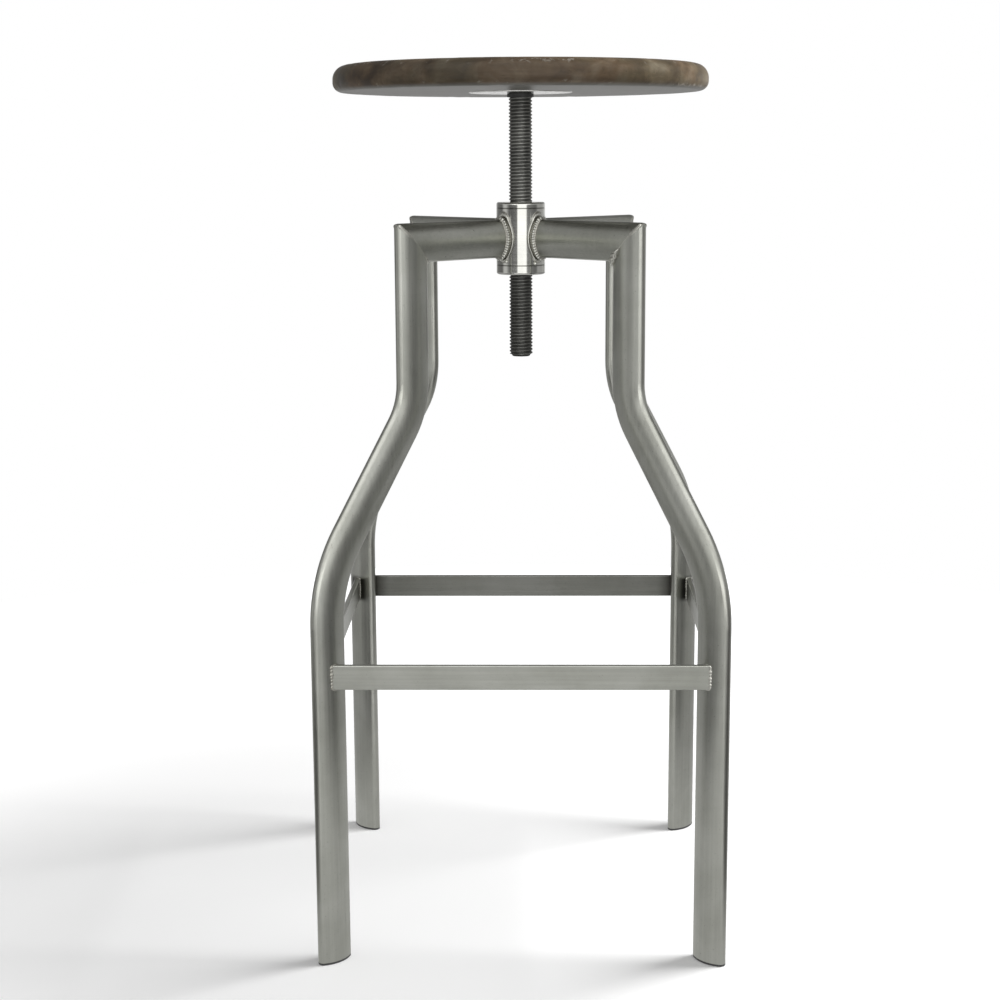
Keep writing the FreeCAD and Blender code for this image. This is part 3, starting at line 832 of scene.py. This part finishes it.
# Key light: place, aim, side length and power
KEY_PLACE = Vector((1.7, 0.3, 1.6))
KEY_AIM = Vector((0, 0, 0.2))
KEY_SIZE = 1.2
KEY_POWER = 64
# Camera: place, angles in degrees, focal length and sensor in millimetres
CAMERA_PLACE = (0.01213, -1.66188, 0.68819)
CAMERA_ANGLES = (79.3543, 0.2872, 1.0461)
CAMERA_LENS = 66.378
CAMERA_SENSOR = 36.0


def seen_straight(tree, path):
    """1 for what the camera sees, directly or through something clear"""
    return tree.maths("MAXIMUM", path.outputs["Is Camera Ray"], path.outputs["Is Transmission Ray"])


def sweep_in_metal(tree, place):
    """The paper sweep as the metal shows it: pale under and before the stool, dark past its sides"""
    x, y, _ = tree.split(place)
    middle = tree.fit(y, *SWEEP_FRONT, *SWEEP_LEVELS)
    inside = tree.fit(tree.maths("ABSOLUTE", x), *SWEEP_EDGE, 1.0, 0.0)
    flank = tree.fit(y, *SWEEP_REAR, 0.0, SWEEP_FLANK)
    return tree.maths("ADD", tree.blend(inside, flank, middle), SWEEP_BASE)


def glow(tree, strength):
    node = tree.add("ShaderNodeEmission")
    tree.join(strength, node.inputs["Strength"])
    return node.outputs["Emission"]


def pale_floor():
    """Pale floor round the stool; to the camera it is lifted to white where no shadow falls"""
    mesh = bpy.data.meshes.new("floor")
    steps = [math.radians(3 * step) for step in range(120)]
    rim = [(FLOOR_RADIUS * math.cos(step), FLOOR_RADIUS * math.sin(step), 0) for step in steps]
    mesh.from_pydata(rim, [], [tuple(range(len(rim)))])
    floor = bpy.data.objects.new("floor", mesh)
    bpy.context.scene.collection.objects.link(floor)
    material = bpy.data.materials.new("floor_white")
    material.use_nodes = True
    mesh.materials.append(material)
    tree = Tree(material.node_tree)
    tree.nodes.remove(tree.nodes["Principled BSDF"])
    place = tree.add("ShaderNodeTexCoord").outputs["Object"]
    path = tree.add("ShaderNodeLightPath")
    away = tree.add("ShaderNodeVectorMath", operation="LENGTH")
    tree.join(place, away.inputs[0])
    matt = tree.add("ShaderNodeBsdfDiffuse")
    tree.join(tree.fit(away.outputs["Value"], *FLOOR_FADE, *FLOOR_TONE), matt.inputs["Color"])
    lift = tree.fit(away.outputs["Value"], *FLOOR_FADE, *FLOOR_LIFT)
    both = tree.add("ShaderNodeAddShader")
    tree.join(matt.outputs["BSDF"], both.inputs[0])
    tree.join(glow(tree, tree.maths("MULTIPLY", seen_straight(tree, path), lift)), both.inputs[1])
    mirrored = glow(tree, sweep_in_metal(tree, place))
    shader = tree.choose(path.outputs["Is Glossy Ray"], both.outputs["Shader"], mirrored)
    tree.join(shader, tree.nodes["Material Output"].inputs["Surface"])


def surround(tree, colour, strength=1.0):
    node = tree.add("ShaderNodeBackground")
    tree.feed(node.inputs["Color"], colour)
    node.inputs["Strength"].default_value = strength
    return node.outputs["Background"]


def studio_world():
    """White to the camera; soft even light; in reflections a light tent with darker gaps"""
    world = bpy.data.worlds.new("studio")
    world.use_nodes = True
    bpy.context.scene.world = world
    tree = Tree(world.node_tree)
    path = tree.add("ShaderNodeLightPath")
    x, y, z = tree.split(tree.add("ShaderNodeTexCoord").outputs["Generated"])
    azimuth = tree.maths("ARCTAN2", x, tree.maths("MULTIPLY", y, -1.0))
    turn = tree.fit(azimuth, -math.pi, math.pi, curve="LINEAR")

    def by_azimuth(levels):
        return surround(tree, tree.ramp(turn, *[((degrees + 180) / 360, level) for degrees, level in levels]))

    tent = by_azimuth(TENT_SKIRT)
    for start, end, levels in TENT_LAYERS:
        tent = tree.choose(tree.fit(z, start, end), tent, by_azimuth(levels))
    white = (1, 1, 1, 1)
    light = tree.choose(path.outputs["Is Glossy Ray"], surround(tree, white, AMBIENT), tent)
    shader = tree.choose(seen_straight(tree, path), light, surround(tree, white))
    tree.join(shader, tree.nodes["World Output"].inputs["Surface"])


def key_light():
    data = bpy.data.lights.new("key_light", "AREA")
    data.shape = "RECTANGLE"
    data.size = data.size_y = KEY_SIZE
    data.energy = KEY_POWER
    light = bpy.data.objects.new("key_light", data)
    bpy.context.scene.collection.objects.link(light)
    light.location = KEY_PLACE
    light.rotation_euler = (KEY_AIM - KEY_PLACE).to_track_quat("-Z", "Y").to_euler()
    light.visible_camera = False
    light.visible_glossy = False


def front_camera():
    data = bpy.data.cameras.new("camera")
    data.sensor_width = CAMERA_SENSOR
    data.lens = CAMERA_LENS
    camera = bpy.data.objects.new("camera", data)
    bpy.context.scene.collection.objects.link(camera)
    camera.location = CAMERA_PLACE
    camera.rotation_euler = [math.radians(angle) for angle in CAMERA_ANGLES]
    bpy.context.scene.camera = camera


dress_all()
pale_floor()
studio_world()
key_light()
front_camera()
bpy.context.scene.view_settings.view_transform = "Standard"
